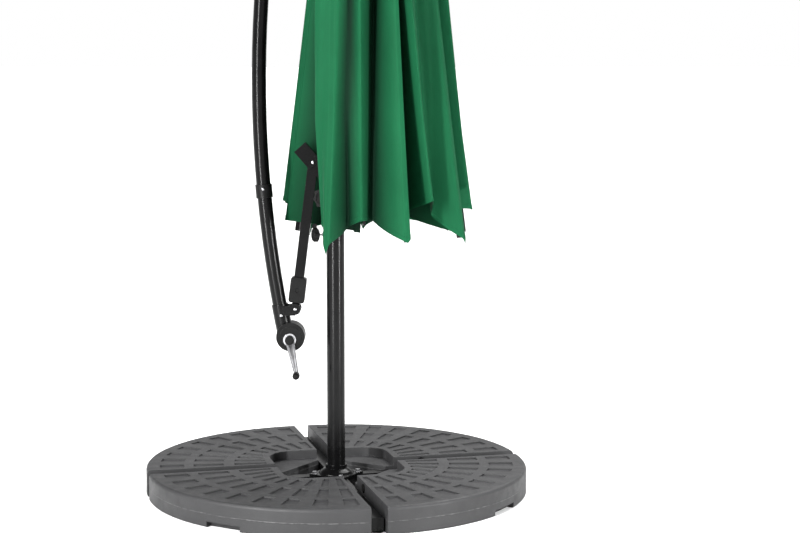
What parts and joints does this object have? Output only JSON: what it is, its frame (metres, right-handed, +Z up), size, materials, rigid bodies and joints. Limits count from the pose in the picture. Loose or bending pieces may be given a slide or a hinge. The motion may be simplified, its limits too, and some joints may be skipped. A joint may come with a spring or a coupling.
{
  "type": "offset patio umbrella with base",
  "caption": "Offset hanging patio umbrella, folded: curved arm with crank, mast with lift slider and strut, green canopy, cross base with fan-shaped weight tanks.",
  "frame": {"origin": "on the floor under the mast's axis, at the middle of the cross base", "axes": "+Z up along the mast; the curved arm and its crank are on -X and the folded canopy hangs on +X; -Y faces the viewer"},
  "size_m": [1.0138, 1.0138, 2.413],
  "materials": {
    "frame_paint": "satin powder coat",
    "zinc_steel": "zinc plated",
    "grey_metal": "satin",
    "black_plastic": "fine grain",
    "tank_plastic": "grained",
    "canopy_cloth": "woven polyester"
  },
  "bodies": {
    "base": {"cross_tube_long": "frame_paint", "cross_tube_short": "frame_paint", "tube_end_caps": "black_plastic", "floor_feet": "black_plastic", "mast_flange": "frame_paint", "flange_bolts": "zinc_steel", "flange_nuts": "zinc_steel", "lower_mast": "frame_paint", "upper_mast": "frame_paint", "mast_head_fork": "black_plastic", "head_pivot_bolt": "zinc_steel", "head_pivot_nut": "zinc_steel", "mast_knob_boss": "black_plastic", "lock_wire": "zinc_steel"},
    "mast_knob": {"mast_knob": "black_plastic", "mast_knob_screw": "zinc_steel"},
    "slider": {"slider_sleeve": "black_plastic", "slider_liner": "black_plastic", "slider_handle": "frame_paint", "handle_inner_channel": "frame_paint", "handle_pin_bolt": "zinc_steel"},
    "lock_knob": {"lock_knob": "black_plastic", "lock_knob_screw": "zinc_steel"},
    "strut": {"strut_tube": "frame_paint", "strut_boot": "black_plastic"},
    "head": {"head_carriage": "black_plastic", "guide_liner": "black_plastic"},
    "arm": {"arm_lower": "frame_paint", "arm_upper": "frame_paint", "arm_sleeve": "black_plastic", "arm_sleeve_bolt": "zinc_steel", "crank_bracket": "frame_paint", "bracket_bolt": "zinc_steel", "lug_studs": "zinc_steel", "crank_housing": "black_plastic", "housing_cover": "grey_metal", "arm_tip_bracket": "black_plastic", "hang_bolt": "zinc_steel"},
    "crank": {"crank_hub": "zinc_steel", "crank_lever": "grey_metal", "crank_cap": "black_plastic", "cord_reel": "grey_metal"},
    "crank_grip": {"crank_knob": "black_plastic"},
    "canopy": {"canopy": "canopy_cloth", "canopy_cap": "canopy_cloth", "canopy_hanger": "black_plastic", "crown": "black_plastic", "centre_pole": "frame_paint", "runner": "black_plastic", "ribs": "frame_paint", "stretchers": "frame_paint"},
    "tank_1": {"tank_1": "tank_plastic", "fill_cap_1": "black_plastic"},
    "tank_2": {"tank_2": "tank_plastic", "fill_cap_2": "black_plastic"},
    "tank_3": {"tank_3": "tank_plastic", "fill_cap_3": "black_plastic"},
    "tank_4": {"tank_4": "tank_plastic", "fill_cap_4": "black_plastic"}
  },
  "joints": [
    {"name": "head_tilt", "type": "hinge", "parent": "base", "child": "head", "pos_m": [0, 0, 1.55], "axis": [0, 1, 0], "range_deg": [0, 34]},
    {"name": "arm_travel", "type": "hinge", "parent": "head", "child": "arm", "pos_m": [3.045, 0, 1.063], "axis": [0, 1, 0], "range_deg": [0, 9]},
    {"name": "canopy_hang", "type": "hinge", "parent": "arm", "child": "canopy", "pos_m": [0.112, 0, 2.4], "axis": [0, 1, 0], "range_deg": [-43, 0]},
    {"name": "slider_lift", "type": "slide", "parent": "base", "child": "slider", "axis": [0, 0, 1], "range_m": [0, 0.3313]},
    {"name": "strut_swing", "type": "hinge", "parent": "slider", "child": "strut", "pos_m": [-0.057, 0, 0.8735], "axis": [0, 1, 0], "range_deg": [0, 77.75]},
    {"name": "crank_turn", "type": "hinge", "parent": "arm", "child": "crank", "pos_m": [-0.1207, 0, 0.406], "axis": [0, 1, 0], "continuous": true},
    {"name": "crank_grip_spin", "type": "hinge", "parent": "crank", "child": "crank_grip", "pos_m": [-0.1028, -0.05, 0.314], "axis": [0, 1, 0], "continuous": true},
    {"name": "lock_knob_turn", "type": "hinge", "parent": "slider", "child": "lock_knob", "pos_m": [0, 0, 0.784], "axis": [-0.4226, -0.9063, 0], "continuous": true},
    {"name": "mast_knob_turn", "type": "hinge", "parent": "base", "child": "mast_knob", "pos_m": [0, 0, 0.683], "axis": [-0.9511, -0.309, 0], "continuous": true},
    {"name": "tank_1_lift", "type": "slide", "parent": "base", "child": "tank_1", "axis": [0, 0, 1], "range_m": [0, 0.12]},
    {"name": "tank_2_lift", "type": "slide", "parent": "base", "child": "tank_2", "axis": [0, 0, 1], "range_m": [0, 0.12]},
    {"name": "tank_3_lift", "type": "slide", "parent": "base", "child": "tank_3", "axis": [0, 0, 1], "range_m": [0, 0.12]},
    {"name": "tank_4_lift", "type": "slide", "parent": "base", "child": "tank_4", "axis": [0, 0, 1], "range_m": [0, 0.12]}
  ],
  "couplings": [
    {"joint": "arm_travel", "follows": "head_tilt", "ratio": 0.26471},
    {"joint": "canopy_hang", "follows": "head_tilt", "ratio": -1.2647},
    {"joint": "slider_lift", "follows": "head_tilt", "m_per_rad": 0.55825},
    {"joint": "strut_swing", "follows": "head_tilt", "ratio": 2.2867}
  ]
}
